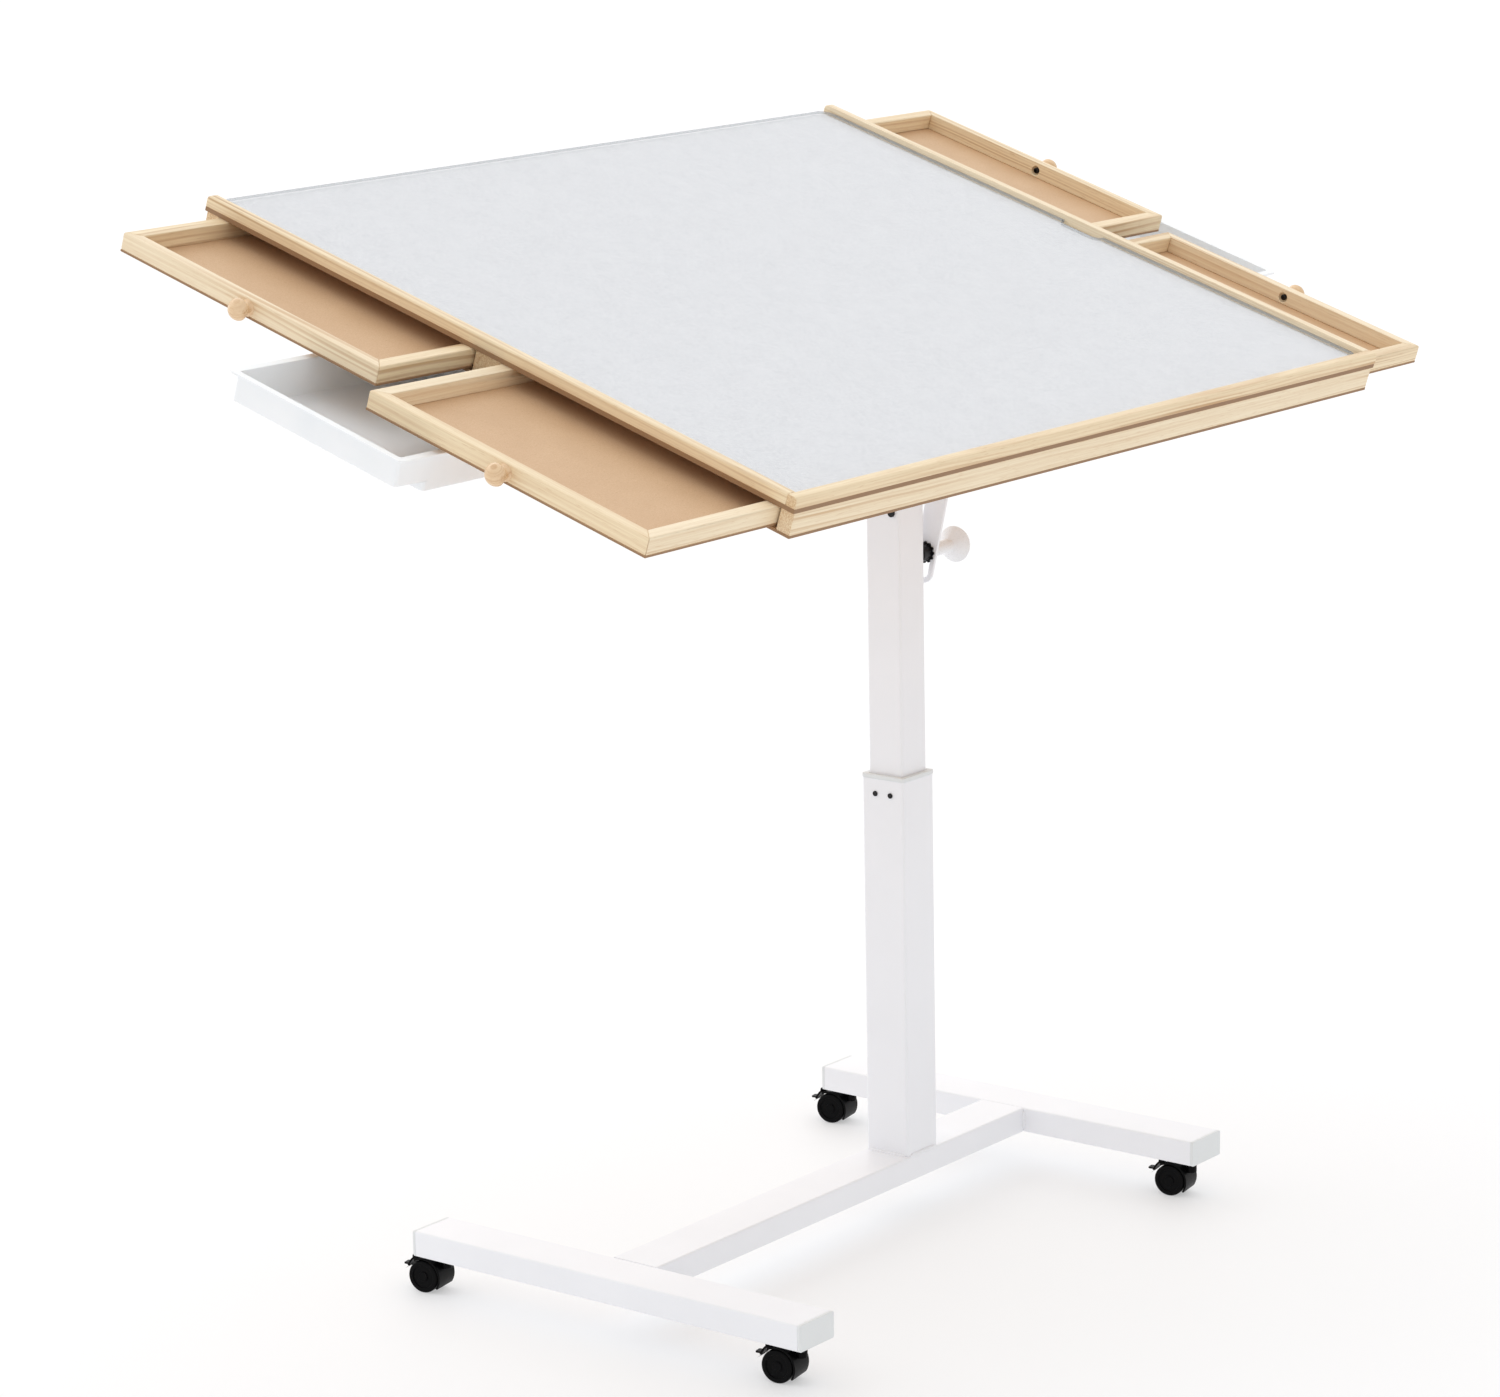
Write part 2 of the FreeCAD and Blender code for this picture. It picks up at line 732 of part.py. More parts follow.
def tilt_stay():
    """Flat slotted bar, drawn straight down from its pin and then leaned to its place."""
    lengths = [stay_line(tilt)[0] for tilt in (0, rest_tilt, full_tilt)]
    slot_top = -(min(lengths) - stay_slot_spare)
    slot_end = -(max(lengths) + stay_slot_spare)
    top = rod_x(stay_top_radius, stay_x, stay_x + stay_thickness, 0, 0)
    end = rod_x(stay_end_radius, stay_x, stay_x + stay_thickness, 0, slot_end)
    corners = [FreeCAD.Vector(stay_x, y, z) for y, z in
               ((-stay_top_radius, 0), (stay_top_radius, 0), (stay_end_radius, slot_end),
                (-stay_end_radius, slot_end), (-stay_top_radius, 0))]
    bar = Part.Face(Part.makePolygon(corners)).extrude(X_AXIS * stay_thickness)
    slot_radius = stud_radius + stay_slot_play
    slot_ends = [rod_x(slot_radius, stay_x - cut_overrun, stay_x + stay_thickness + cut_overrun, 0, z)
                 for z in (slot_top, slot_end)]
    slot = block(stay_x - cut_overrun, stay_x + stay_thickness + cut_overrun,
                 -slot_radius, slot_radius, slot_end, slot_top)
    hole = rod_x(stay_pin_radius + pin_gap, stay_x - cut_overrun,
                 stay_x + stay_thickness + cut_overrun, 0, 0)
    stay = without(joined(top, end, bar), slot, hole, *slot_ends)
    stay.rotate(ORIGIN, X_AXIS, stay_lean())
    stay.translate(FreeCAD.Vector(0, column_y - stay_reach * tilt_cos, hinge_height - stay_reach * tilt_sin))
    return stay


# Puzzle board, in the board frame

def rim_front():
    rim = block(-half_length, half_length, board_near, board_near + rim_width, top_high, rim_top)
    return rim.makeFillet(rim_edge_radius, [edge_nearest(rim, X_AXIS, 0, board_near, rim_top)])


def rim_side(side):
    inner = half_length - rim_width
    rim = block(inner, half_length, board_near + rim_width, board_far, top_high, rim_top)
    rim = rim.makeFillet(rim_end_radius, [edge_nearest(rim, X_AXIS, half_length, board_far, rim_top)])
    rim = rim.makeFillet(rim_edge_radius / 2, [edge_nearest(rim, Y_AXIS, half_length, board_shift, rim_top)])
    return rim if side > 0 else rim.mirror(ORIGIN, X_AXIS)


def board_panel(z_low, z_high, inset):
    return block(-half_length + inset, half_length - inset, board_near + inset, board_far - inset,
                 z_low, z_high)


def felt_surface():
    inner = half_length - rim_width - seat_gap
    return block(-inner, inner, board_near + rim_width + seat_gap, board_far - panel_inset,
                 top_high, felt_top)


def apron(end):
    if end < 0:
        near = board_near + apron_face_inset
    else:
        near = board_far - apron_face_inset - apron_thickness
    return block(-apron_end, apron_end, near, near + apron_thickness, bay_low, bay_high)


def inner_blocks():
    """Divider between the drawer rows, strips that the drawers stop against and runners below them."""
    blocks = [block(-apron_end, apron_end, divider_near, divider_far, bay_low, bay_high)]
    stop = drawer_inner_x - running_gap
    runner_high = bay_low + drawer_runner_height
    for side in (-1, 1):
        stop_ends = sorted((side * stop, side * (stop - stop_width)))
        runner_ends = sorted((side * stop, side * (apron_end - drawer_runner_inset)))
        for y_low, y_high in ((bay_near, divider_near), (divider_far, bay_far)):
            blocks.append(block(*stop_ends, y_low, y_high, bay_low, bay_high))
            blocks.append(block(*runner_ends, y_low, y_low + drawer_runner_width, bay_low, runner_high))
            blocks.append(block(*runner_ends, y_high - drawer_runner_width, y_high, bay_low, runner_high))
    return blocks


def tray_rail(side, end):
    """Z-shaped rail: a foot under the panel, a web beside the flange and a lip below it."""
    foot_plate = block(tray_home_x, apron_end, rail_inside, rail_outside + rail_foot_width,
                       underside - rail_thickness, underside)
    web = block(tray_home_x, apron_end, rail_inside, rail_outside, lip_high - rail_thickness, underside)
    lip = block(tray_home_x, apron_end, rail_inside - rail_lip_width, rail_outside,
                lip_high - rail_thickness, lip_high)
    rail = joined(foot_plate, web, lip)
    if end < 0:
        rail = rail.mirror(ORIGIN, Y_AXIS)
    if side < 0:
        rail = rail.mirror(ORIGIN, X_AXIS)
    rail.translate(Y_AXIS * board_shift)
    return rail


def bracket_ends():
    return column_x - bracket_length / 2, column_x + bracket_length / 2


def hinge_bracket():
    """Plate under the board with two hinge ears and a lug for the tilt stay."""
    x_low, x_high = bracket_ends()
    plate_low = underside - bracket_thickness
    plate = block(x_low, x_high, -bracket_front_reach, bracket_back_reach, plate_low, underside)
    pieces = []
    for side in (-1, 1):
        inner = upper_half + hinge_ear_gap
        ends = sorted((side * inner, side * (inner + hinge_ear_thickness)))
        pieces.append(block(column_x + ends[0], column_x + ends[1], -hinge_ear_radius, hinge_ear_radius,
                            0, plate_low))
        pieces.append(rod_x(hinge_ear_radius, column_x + ends[0], column_x + ends[1], 0, 0))
    lug_high = stay_x - hinge_ear_gap
    lug_low = lug_high - hinge_ear_thickness
    pieces.append(block(lug_low, lug_high, -stay_reach - stay_lug_radius, -stay_reach + stay_lug_radius,
                        0, plate_low))
    pieces.append(rod_x(stay_lug_radius, lug_low, lug_high, -stay_reach, 0))
    pin_hole = rod_x(hinge_pin_radius + pin_gap, x_low, x_high, 0, 0)
    stay_hole = rod_x(stay_pin_radius + pin_gap, lug_low - cut_overrun, lug_high + cut_overrun,
                      -stay_reach, 0)
    return without(joined(plate, *pieces), pin_hole, stay_hole)


def hinge_pin():
    reach = upper_half + hinge_ear_gap + hinge_ear_thickness
    pin = rod_x(hinge_pin_radius, column_x - reach, column_x + reach, 0, 0)
    left_head = rod_x(pin_head_radius, column_x - reach - pin_head_thickness, column_x - reach, 0, 0)
    right_head = rod_x(pin_head_radius, column_x + reach, column_x + reach + pin_head_thickness, 0, 0)
    return joined(pin, left_head, right_head)


def stay_pin():
    low = stay_x - hinge_ear_gap - hinge_ear_thickness
    high = stay_x + stay_thickness + hinge_ear_gap
    pin = rod_x(stay_pin_radius, low, high, -stay_reach, 0)
    low_head = rod_x(stay_pin_head_radius, low - stay_pin_head_thickness, low, -stay_reach, 0)
    high_head = rod_x(stay_pin_head_radius, high, high + stay_pin_head_thickness, -stay_reach, 0)
    return joined(pin, low_head, high_head)


def screw_places():
    """Screws under the board: place, the face that the head sits on, and length."""
    places = []
    span = 2 * (apron_end - apron_screw_margin)
    for y in (board_near + apron_face_inset + apron_thickness / 2,
              board_far - apron_face_inset - apron_thickness / 2):
        for index in range(apron_screw_count):
            x = -span / 2 + span * index / (apron_screw_count - 1)
            places.append((x, y, underside, apron_screw_length))
    x_low, x_high = bracket_ends()
    plate_low = underside - bracket_thickness
    for x in (x_low + bracket_screw_margin, x_high - bracket_screw_margin):
        for y in (divider_near + divider_width / 4, divider_far - divider_width / 4):
            places.append((x, y, plate_low, frame_screw_length))
    for side in (-1, 1):
        for end in (-1, 1):
            y = board_shift + end * (rail_outside + rail_foot_width / 2)
            for x in (tray_home_x + rail_screw_margin, apron_end - rail_screw_margin):
                places.append((side * x, y, underside - rail_thickness, rail_screw_length))
    return places


def screw(x, y, z, length):
    head = rod_z(screw_head_radius, z - screw_head_height, z, x, y)
    shank = rod_z(screw_radius, z, z + length, x, y)
    return joined(head, shank)


def screw_holes():
    return [rod_z(screw_radius + pin_gap, z - pin_gap, z + length + pin_gap, x, y)
            for x, y, z, length in screw_places()]


def drilled(shape, holes):
    """The shape with each hole that reaches it cut out."""
    reaching = [hole for hole in holes if shape.BoundBox.intersect(hole.BoundBox)]
    return without(shape, *reaching) if reaching else shape


def write_board():
    holes = screw_holes()
    write("rim_front", tilted(rim_front()))
    write("rim_left", tilted(rim_side(-1)))
    write("rim_right", tilted(rim_side(1)))
    write("top_panel", tilted(board_panel(bay_high, top_high, panel_inset)))
    write("felt_surface", tilted(felt_surface()))
    write("aprons", *[tilted(drilled(apron(end), holes)) for end in (-1, 1)])
    write("inner_frame", *[tilted(drilled(piece, holes)) for piece in inner_blocks()])
    bottom = block(-apron_end, apron_end, board_near + apron_face_inset, board_far - apron_face_inset,
                   underside, bay_low)
    write("bottom_panel", tilted(drilled(bottom, holes)))
    write("hinge_bracket", tilted(drilled(hinge_bracket(), holes)))
    write("hinge_pins", tilted(hinge_pin()), tilted(stay_pin()))
    rails = [drilled(tray_rail(side, end), holes) for side in (-1, 1) for end in (-1, 1)]
    write("tray_rails", *[tilted(rail) for rail in rails])
    write("board_screws", *[tilted(screw(*place)) for place in screw_places()])
    write("tilt_stay", tilt_stay())


# Loose cover, trays and drawers, in the board frame

def clear_cover():
    inner = half_length - rim_width - cover_gap
    low = felt_top + seat_gap
    near = board_near + rim_width + cover_gap
    far = board_far - cover_back_inset
    sheet = rounded_slab(-inner, inner, near, far, low, low + cover_thickness, cover_corner_radius)
    middle = (near + far) / 2
    notch = rounded_slab(inner - notch_depth, inner + notch_depth, middle - notch_length / 2,
                         middle + notch_length / 2, low - cut_overrun, low + cover_thickness + cut_overrun,
                         notch_radius)
    return without(sheet, notch)


def tray(side):
    """Open tray with a flange round its rim and a shallower step at its outer end."""
    x_low = tray_home_x + tray_pull
    x_high = x_low + tray_length
    y_half = tray_width / 2
    flange = rounded_slab(x_low, x_high, -y_half, y_half, flange_low, flange_high,
                          tray_flange_corner_radius)

    def body(inset, bottom, end):
        edge = tray_flange_width + inset
        return rounded_slab(x_low + edge, end - edge, -y_half + edge, y_half - edge, bottom,
                            flange_high, tray_corner_radius - inset)

    bottom = flange_high - tray_depth
    step_bottom = bottom + tray_step_height
    step_end = x_high - tray_step_length
    outside = joined(flange, body(0, bottom, step_end), body(0, step_bottom, x_high))
    shape = without(outside, body(tray_wall, bottom + tray_wall, step_end),
                    body(tray_wall, step_bottom + tray_wall, x_high))
    if side < 0:
        shape = shape.mirror(ORIGIN, X_AXIS)
    shape.translate(Y_AXIS * board_shift)
    return shape


def drawer_bay(end):
    if end < 0:
        return bay_near + drawer_side_gap, divider_near - drawer_side_gap
    return divider_far + drawer_side_gap, bay_far - drawer_side_gap


def knob_screw_holes(y, z):
    face = apron_end
    shank = rod_x(knob_screw_radius, face - drawer_wall - cut_overrun, face + cut_overrun, y, z)
    recess = rod_x(knob_recess_radius, face - drawer_wall - cut_overrun,
                   face - drawer_wall + knob_recess_depth, y, z)
    return [shank, recess]


def drawer_knob():
    """Turned wooden knob with a waisted neck and a domed head."""
    waist = knob_neck_length / 2
    shoulder = knob_neck_length + knob_shoulder_length
    length = shoulder + knob_dome_height
    return turned_x([
        [(0, 0), (0, knob_foot_radius)],
        [(0, knob_foot_radius), (waist, knob_neck_radius), (knob_neck_length, knob_foot_radius)],
        [(knob_neck_length, knob_foot_radius), (shoulder, knob_radius)],
        [(shoulder, knob_radius), cap_middle(shoulder, knob_radius, length), (length, 0)],
        [(length, 0), (0, 0)],
    ], 0)


def drawer_pieces(side, end, opening):
    """Front, walls, bottom and knob of one drawer with mitred front corners, drawn at the right side."""
    y_low, y_high = drawer_bay(end)
    bottom_low = bay_low + drawer_runner_height + running_gap
    wall_low = bottom_low + drawer_bottom_thickness
    wall_high = bay_high - running_gap
    face = apron_end
    inner_face = face - drawer_wall
    knob_y = (y_low + y_high) / 2
    knob_z = (bottom_low + wall_high) / 2
    inner_low = y_low + drawer_wall
    inner_high = y_high - drawer_wall
    front = prism_z([(inner_face, inner_low), (face, y_low), (face, y_high), (inner_face, inner_high)],
                    wall_low, wall_high)
    front = front.makeFillet(drawer_edge_radius, [edge_nearest(front, Y_AXIS, face, knob_y, wall_high)])
    front = without(front, *knob_screw_holes(knob_y, knob_z))
    walls = [block(drawer_inner_x, drawer_inner_x + drawer_wall, inner_low, inner_high, wall_low, wall_high)]
    for outer_y, inner_y in ((y_low, inner_low), (y_high, inner_high)):
        wall = prism_z([(drawer_inner_x, outer_y), (face, outer_y), (inner_face, inner_y),
                        (drawer_inner_x, inner_y)], wall_low, wall_high)
        outer_edge = edge_nearest(wall, X_AXIS, (drawer_inner_x + face) / 2, outer_y, wall_high)
        walls.append(wall.makeFillet(drawer_edge_radius, [outer_edge]))
    bottom = block(drawer_inner_x, face, y_low, y_high, bottom_low, wall_low)
    knob = drawer_knob()
    knob.translate(FreeCAD.Vector(face, knob_y, knob_z))
    groups = {"front": [front], "walls": walls, "bottom": [bottom], "knob": [knob]}
    for solids in groups.values():
        for index, solid in enumerate(solids):
            moved = solid.copy()
            moved.translate(X_AXIS * opening)
            solids[index] = moved if side > 0 else moved.mirror(ORIGIN, X_AXIS)
    return groups


def write_loose_pieces():
    write("clear_cover", tilted(clear_cover()))
    write("tray_left", tilted(tray(-1)))
    write("tray_right", tilted(tray(1)))
    drawers = {"left_far": (-1, 1, left_far_opening), "left_near": (-1, -1, left_near_opening),
               "right_far": (1, 1, right_far_opening), "right_near": (1, -1, right_near_opening)}
    for place, (side, end, opening) in drawers.items():
        for piece, solids in drawer_pieces(side, end, opening).items():
            write("drawer_" + place + "_" + piece, *[tilted(solid) for solid in solids])


# Casters, drawn about their stem with the wheels trailing along Y, then turned and placed

def brake_pivot():
    reach = wheel_radius + brake_gap + brake_thickness / 2
    turn = math.radians(brake_pivot_angle)
    return caster_trail + reach * math.cos(turn), wheel_radius + reach * math.sin(turn)


def caster_wheels():
    """Two dished wheels on one axle."""
    inner = wheel_spacing / 2
    outer = inner + wheel_width
    tread = rod_x(wheel_radius, inner, outer, caster_trail, wheel_radius)
    rims = [edge for edge in tread.Edges if isinstance(edge.Curve, Part.Circle)]
    wheel = tread.makeFillet(wheel_edge_radius, rims)
    dish = rod_x(wheel_dish_radius, outer - wheel_dish_depth, outer + cut_overrun,
                 caster_trail, wheel_radius)
    hub = rod_x(wheel_hub_radius, outer - wheel_dish_depth, outer, caster_trail, wheel_radius)
    wheel = joined(without(wheel, dish), hub)
    axle = rod_x(axle_radius, -inner, inner, caster_trail, wheel_radius)
    return joined(wheel, wheel.mirror(ORIGIN, X_AXIS), axle)


def caster_hood():
    """Fender over the wheels, web between them, boss round the stem and ears for the brake."""
    top = caster_height - stem_flange_height - running_gap
    web_half = wheel_spacing / 2 - web_gap
    side = wheel_spacing / 2 + wheel_width + fender_side_overhang
    clear_radius = wheel_radius + fender_gap
    fender = arc_piece(caster_trail, wheel_radius, 0, clear_radius + fender_thickness,
                       fender_back_angle, fender_front_angle, -side, side)
    web = rod_x(web_radius, -web_half, web_half, caster_trail, wheel_radius)
    boss = rod_z(boss_radius, top - boss_height, top, 0, 0)
    wheel_rooms = [rod_x(clear_radius, x_low, x_low + side + cut_overrun, caster_trail, wheel_radius)
                   for x_low in (web_half, -web_half - side - cut_overrun)]
    pivot_y, pivot_z = brake_pivot()
    ear_inner = brake_width / 2 + running_gap
    brake_room = rod_x(brake_clear_radius, -ear_inner, ear_inner, pivot_y, pivot_z)
    axle_hole = rod_x(axle_radius + pin_gap, -side, side, caster_trail, wheel_radius)
    stem_hole = rod_z(stem_radius + pin_gap, top - stem_socket_depth - running_gap, top + cut_overrun, 0, 0)
    hood = without(joined(fender, web, boss), brake_room, axle_hole, stem_hole, *wheel_rooms)
    ears = [rod_x(brake_ear_radius, x_low, x_low + brake_ear_width, pivot_y, pivot_z)
            for x_low in (ear_inner, -ear_inner - brake_ear_width)]
    ears = [without(ear, *wheel_rooms) for ear in ears]
    pin_hole = rod_x(brake_pin_radius + pin_gap, -side, side, pivot_y, pivot_z)
    return without(joined(hood, *ears), pin_hole)


def caster_brake():
    """Curved pedal over the treads, with its pin and the tab that a toe presses."""
    pivot_y, pivot_z = brake_pivot()
    half = brake_width / 2
    inner = wheel_radius + brake_gap
    pedal = arc_piece(caster_trail, wheel_radius, inner, inner + brake_thickness,
                      brake_end_angle, brake_pivot_angle, -half, half)
    barrel = rod_x(brake_barrel_radius, -half, half, pivot_y, pivot_z)
    pin_half = half + running_gap + brake_ear_width
    pin = rod_x(brake_pin_radius, -pin_half, pin_half, pivot_y, pivot_z)
    turn = math.radians(brake_end_angle)
    tab_y = caster_trail + inner * math.cos(turn)
    tab_z = wheel_radius + (inner + brake_thickness) * math.sin(turn)
    tab_half = brake_tab_width / 2
    tab = rounded_slab(-tab_half, tab_half, tab_y, tab_y + brake_tab_length,
                       tab_z - brake_tab_thickness / 2, tab_z + brake_tab_thickness / 2,
                       brake_tab_thickness)
    return joined(pedal, barrel, pin, tab)


def write_casters():
    pieces = {"hood": caster_hood(), "wheels": caster_wheels(), "brake": caster_brake()}
    for name, (x, y) in stem_places().items():
        for piece, shape in pieces.items():
            placed = shape.copy()
            placed.rotate(ORIGIN, Z_AXIS, caster_turn)
            placed.translate(FreeCAD.Vector(x, y, 0))
            write(name + "_" + piece, placed)


os.makedirs("parts", exist_ok=True)
write_stand()
write_column()
write_board()
write_loose_pieces()
write_casters()
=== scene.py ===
import json
import math

import bmesh
import bpy
from mathutils import Matrix, Vector, noise


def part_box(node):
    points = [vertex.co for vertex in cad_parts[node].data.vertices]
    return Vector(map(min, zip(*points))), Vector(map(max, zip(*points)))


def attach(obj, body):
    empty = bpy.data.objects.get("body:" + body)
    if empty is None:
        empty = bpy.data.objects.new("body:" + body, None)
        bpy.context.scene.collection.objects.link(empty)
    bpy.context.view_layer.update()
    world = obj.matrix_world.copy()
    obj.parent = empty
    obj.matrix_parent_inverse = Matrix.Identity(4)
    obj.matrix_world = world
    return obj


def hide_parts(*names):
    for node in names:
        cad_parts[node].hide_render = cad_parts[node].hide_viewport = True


# Jigsaw puzzle table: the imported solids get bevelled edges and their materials, and the felt,
# the small fasteners and the weld beads are built here. Lengths in metres, angles in degrees.
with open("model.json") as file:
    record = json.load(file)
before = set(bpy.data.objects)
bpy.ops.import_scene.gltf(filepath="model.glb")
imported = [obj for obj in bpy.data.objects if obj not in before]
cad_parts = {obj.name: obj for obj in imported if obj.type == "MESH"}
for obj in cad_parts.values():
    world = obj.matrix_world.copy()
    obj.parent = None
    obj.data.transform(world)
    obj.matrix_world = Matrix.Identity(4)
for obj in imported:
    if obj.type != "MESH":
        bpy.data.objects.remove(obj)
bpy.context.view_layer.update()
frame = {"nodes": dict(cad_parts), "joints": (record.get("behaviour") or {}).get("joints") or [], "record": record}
MM = 0.001

JOINTS = {joint["name"]: joint for joint in frame["joints"]}
NODE_SLOT = {part["node"]: part["material_slot"] for part in frame["record"]["subparts"]}

# Board frame: X as in the row, Y up the slope, Z square to the board, origin on the hinge axis
NORMAL = Vector(JOINTS["cover_lift"]["axis"])
SLOPE = Vector((0, NORMAL.z, -NORMAL.y))
HINGE = Vector((0, *JOINTS["board_tilt"]["pos_m"][1:]))
TILT = math.atan2(SLOPE.z, SLOPE.y)
BOARD = Matrix.Translation(HINGE) @ Matrix.Rotation(TILT, 4, "X")
TO_BOARD = BOARD.inverted()

# Camera and light
camera_place = Vector((-3.3785, -2.5634, 1.4575))
camera_yaw = 51.986
camera_pitch = 12.545
camera_roll = -1.075
camera_lens = 115.94
camera_sensor = 36.0
floor_half = 60.0
sun_elevation = 44.0
sun_heading = 160.0
sun_softness = 110.0
sun_strength = 1.35
sky_strength = 0.82
floor_glow = 0.40

# Bevel widths per material slot, and the angle from which an edge is bevelled
bevel_widths = {
    "pine": 0.9 * MM, "knob_wood": 0.4 * MM, "hardboard": 0.3 * MM, "white_steel": 0.5 * MM,
    "white_plastic": 0.6 * MM, "zinc_steel": 0.25 * MM, "black_steel": 0.3 * MM, "lever_black": 0.8 * MM,
    "white_knob": 0.5 * MM, "clear_sheet": 0.5 * MM, "tray_plastic": 0.5 * MM, "black_nylon": 0.4 * MM,
}
bevel_angle = 38.0
bevel_segments = 2
weld_distance = 0.01 * MM
flat_angle = 0.5

# Felt: cell of its grid, how much its nap waves and how far its cut edge is rounded
felt_cell = 6.0 * MM
felt_wave = 0.12 * MM
felt_wave_length = 35.0 * MM
felt_edge_drop = 0.9 * MM

# Cross-head screws in the drawer fronts: sizes, and shares of the head's radius and height
screw_head_radius = 3.0 * MM
screw_head_height = 2.2 * MM
screw_sides = 24
screw_seat_share = 1.2
screw_cross_arms = 4
screw_cross_reach_share = 0.62
screw_cross_width_share = 0.17
screw_cross_depth_share = 0.55
screw_cross_margin_share = 0.06
screw_profile_shares = ((1.0, 0.0), (1.0, 0.45), (0.94, 0.72), (0.8, 0.92),
                        (screw_cross_reach_share + screw_cross_margin_share, 1.0))

# Toothed washer at the clamp, with how many points of its outline make up a tooth and the tooth's tip
washer_radius = 10.2 * MM
washer_root_radius = 8.8 * MM
washer_hole_radius = 8.05 * MM
washer_thickness = 1.6 * MM
washer_gap = 0.5 * MM
washer_teeth = 12
washer_tooth_points = 4
washer_tip_points = 2

# Weld beads on the steel, which start and end thinner
weld_radius = 2.2 * MM
weld_ripple = 0.35 * MM
weld_ripple_length = 3.2 * MM
weld_ripple_steps = 3
weld_sides = 8
weld_margin = 3.0 * MM
weld_end_share = 0.45
weld_end_rise = 6.0

QUARTER_TURN = math.pi / 2
FULL_TURN = 2 * math.pi


def linear(red, green, blue):
    """Colour as the renderer takes it, from 0 to 255 values as they are seen."""
    channels = []
    for value in (red, green, blue):
        share = value / 255
        channels.append(share / 12.92 if share <= 0.04045 else ((share + 0.055) / 1.055) ** 2.4)
    return (*channels, 1.0)


class Graph:
    """A material's node tree, with short calls for the nodes that the materials share."""

    def __init__(self, name):
        self.material = bpy.data.materials.new(name)
        self.material.use_nodes = True
        self.tree = self.material.node_tree
        self.shader = self.tree.nodes["Principled BSDF"]

    def feed(self, socket, value):
        if isinstance(value, bpy.types.NodeSocket):
            self.tree.links.new(value, socket)
        else:
            socket.default_value = value

    def node(self, kind, inputs, **settings):
        made = self.tree.nodes.new(kind)
        for key, value in settings.items():
            setattr(made, key, value)
        for key, value in inputs.items():
            self.feed(made.inputs[key], value)
        return made

    def finish(self, **inputs):
        for key, value in inputs.items():
            self.feed(self.shader.inputs[key.replace("_", " ")], value)
        return self.material

    def place(self):
        """Row frame place at rest."""
        return self.node("ShaderNodeTexCoord", {}).outputs["Object"]

    def board_place(self, turn=0.0):
        """Board frame directions, with X turned to the grain."""
        mapped = self.node("ShaderNodeMapping", {"Vector": self.place(), "Rotation": (-TILT, 0.0, -turn)})
        return mapped.outputs["Vector"]

    def vector(self, operation, first, second=(0.0, 0.0, 0.0)):
        made = self.node("ShaderNodeVectorMath", {0: first, 1: second}, operation=operation)
        return made.outputs["Value" if operation in ("LENGTH", "DOT_PRODUCT") else "Vector"]

    def math(self, operation, first, second=0.0):
        return self.node("ShaderNodeMath", {0: first, 1: second}, operation=operation).outputs["Value"]

    def noise(self, vector, scale, detail=2.0, roughness=0.5, output="Fac"):
        made = self.node("ShaderNodeTexNoise", {"Vector": vector, "Scale": scale, "Detail": detail,
                                                "Roughness": roughness})
        return made.outputs[output]

    def stretched(self, place, stretch, detail, roughness=0.5, output="Fac"):
        """Noise that is finer along some axes than along others."""
        return self.noise(self.vector("MULTIPLY", place, stretch), 1.0, detail, roughness, output)

    def bands(self, value, detail):
        """Uneven bands along a single measure."""
        made = self.node("ShaderNodeTexNoise", {"W": value, "Scale": 1.0, "Detail": detail},
                         noise_dimensions="1D")
        return made.outputs["Fac"]

    def range(self, value, low, high, to_low, to_high):
        made = self.node("ShaderNodeMapRange", {"Value": value, "From Min": low, "From Max": high,
                                                "To Min": to_low, "To Max": to_high})
        return made.outputs["Result"]

    def ramp(self, value, stops):
        """Grey values along a ramp of (place, value) stops."""
        made = self.node("ShaderNodeValToRGB", {"Fac": value})
        points = made.color_ramp.elements
        while len(points) < len(stops):
            points.new(0.5)
        for point, (position, grey) in zip(points, stops):
            point.position = position
            point.color = (grey, grey, grey, 1.0)
        return made.outputs["Color"]

    def mix(self, share, first, second, blend="MIX"):
        made = self.node("ShaderNodeMix", {0: share, 6: first, 7: second}, data_type="RGBA",
                         blend_type=blend)
        return made.outputs[2]

    def bump(self, height, distance, strength=1.0, below=None):
        inputs = {"Height": height, "Distance": distance, "Strength": strength}
        if below is not None:
            inputs["Normal"] = below
        return self.node("ShaderNodeBump", inputs).outputs["Normal"]


# Materials: tones as they are seen, from 0 to 255

pine_band_spacing = 3.4 * MM
pine_warp = 15.0 * MM
pine_gloss = 0.42
pine_hearts = (Vector((0.3, -0.058, 0.083)), Vector((-0.2, 0.091, -0.047)), Vector((0.1, 0.036, 0.072)))
pine_tones = (((246, 229, 198), (205, 166, 119)), ((243, 223, 187), (199, 157, 109)),
              ((245, 226, 191), (190, 149, 102)))
knob_band_spacing = 2.0 * MM
knob_gloss = 0.2
knob_heart = Vector((0.05, 0.021, 0.013))
knob_tones = ((237, 206, 167), (193, 148, 101))

# Wood: how finely each pattern runs along the grain and across it
sway_stretch = (2.6, 8.0, 8.0)
patch_stretch = (3.2, 21.0, 21.0)
fibre_stretch = (11.0, 760.0, 760.0)
pore_stretch = (75.0, 1500.0, 1500.0)
end_grain_stretch = (1.0, 820.0, 820.0)
across_grain = (0.0, 1.0, 1.0)

